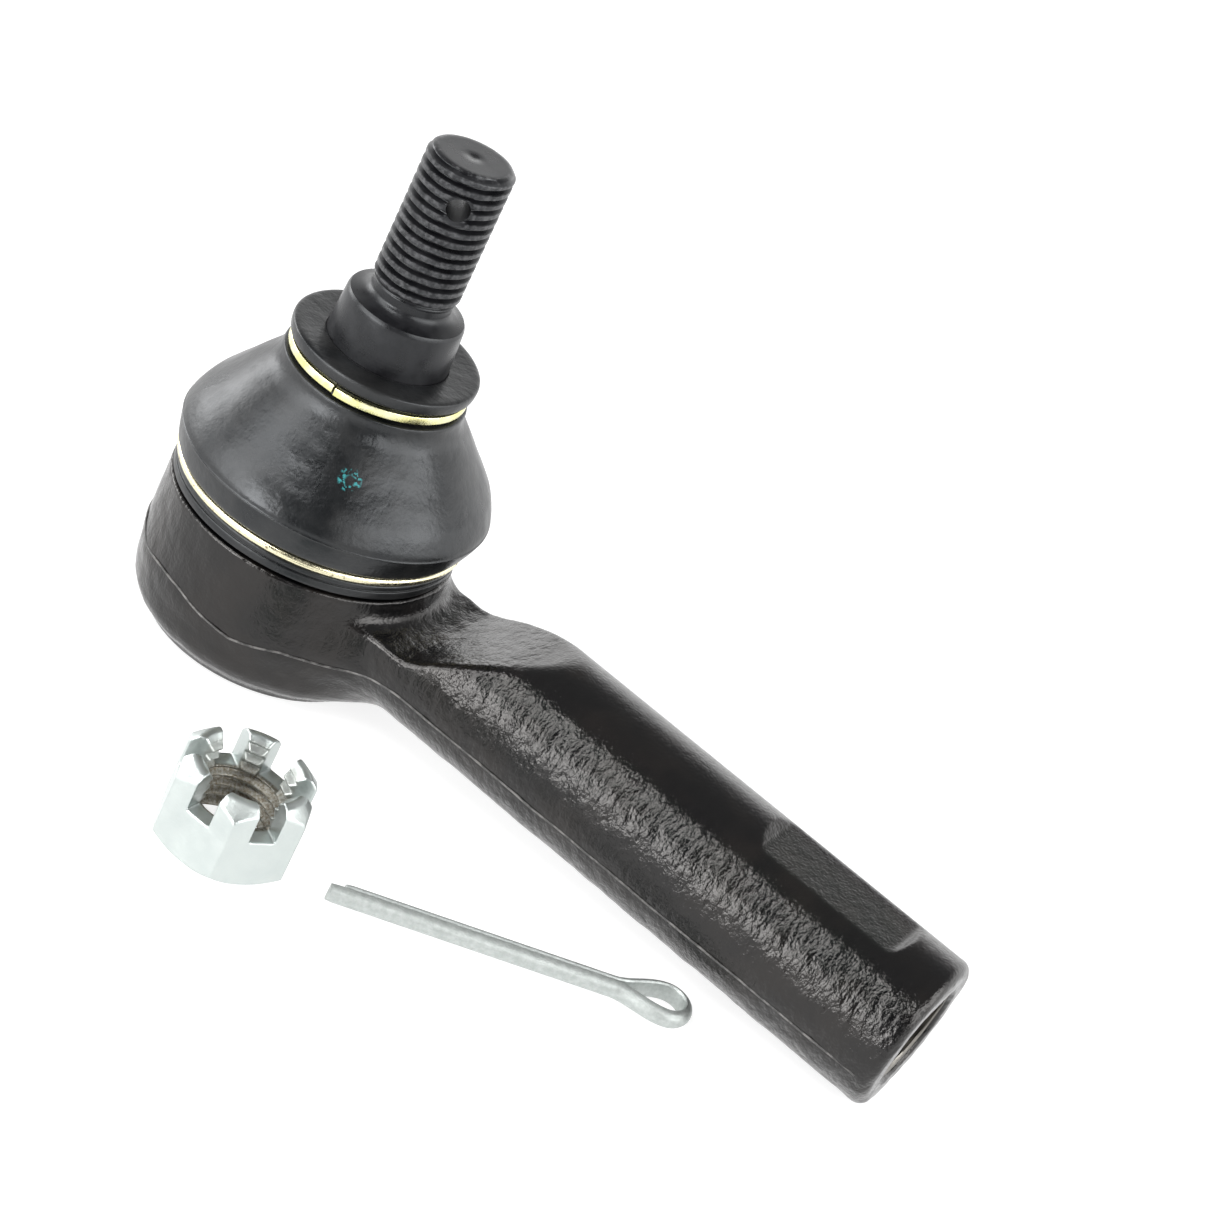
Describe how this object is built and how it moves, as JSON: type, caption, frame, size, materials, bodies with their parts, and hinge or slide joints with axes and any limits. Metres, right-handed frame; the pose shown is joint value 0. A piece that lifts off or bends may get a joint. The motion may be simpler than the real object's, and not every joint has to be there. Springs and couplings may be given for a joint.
{
  "type": "tie rod end",
  "caption": "Outer tie rod end: forged arm with a spring-loaded ball stud, rubber dust boot, internally threaded shank, slotted nut and split cotter pin.",
  "frame": {"origin": "on the ball stud's axis, in the flat plane that the head's underside stands on", "axes": "+Z along the ball stud towards its threaded end, +X from the stud towards the open end of the shank"},
  "size_m": [0.1288, 0.073, 0.0765],
  "materials": {
    "coated_forging": "glossy black electro-coat over a rough forging",
    "phosphated_steel": "dark phosphate, satin, crests worn brighter",
    "seat_resin": "natural acetal resin, greased",
    "spring_steel": "blued spring steel",
    "coated_pressing": "black coated pressed steel",
    "boot_rubber": "satin moulded black rubber",
    "yellow_zinc": "yellow chromate over zinc",
    "clip_wire": "pale gold plated wire",
    "bright_zinc": "bright clear zinc plating",
    "dull_zinc": "dull drawn zinc-plated wire"
  },
  "bodies": {
    "housing": {"housing": "coated_forging", "upper_ball_seat": "seat_resin", "lower_ball_seat": "seat_resin", "preload_washer": "spring_steel", "cover_plate": "coated_pressing"},
    "boot": {"dust_boot": "boot_rubber", "lower_boot_clip": "clip_wire"},
    "stud_carrier": {"upper_boot_clip": "yellow_zinc"},
    "stud": {"ball_stud": "phosphated_steel"},
    "castle_nut": {"castle_nut": "bright_zinc"},
    "cotter_pin": {"cotter_pin": "dull_zinc"}
  },
  "joints": [
    {"name": "swing_direction", "type": "hinge", "parent": "housing", "child": "boot", "pos_m": [0, 0, 0.016], "axis": [0, 0, 1], "continuous": true},
    {"name": "stud_tilt", "type": "hinge", "parent": "boot", "child": "stud_carrier", "pos_m": [0, 0, 0.016], "axis": [0, 1, 0], "range_deg": [-22, 22], "deforming": ["dust_boot"]},
    {"name": "stud_spin", "type": "hinge", "parent": "stud_carrier", "child": "stud", "pos_m": [0, 0, 0.016], "axis": [0, 0, 1], "continuous": true},
    {"name": "castle_nut_lift", "type": "slide", "parent": "housing", "child": "castle_nut", "axis": [0, 0, 1], "range_m": [0, 0.12]},
    {"name": "cotter_pin_lift", "type": "slide", "parent": "housing", "child": "cotter_pin", "axis": [0, -0.8, 0.6], "range_m": [0, 0.1]}
  ]
}
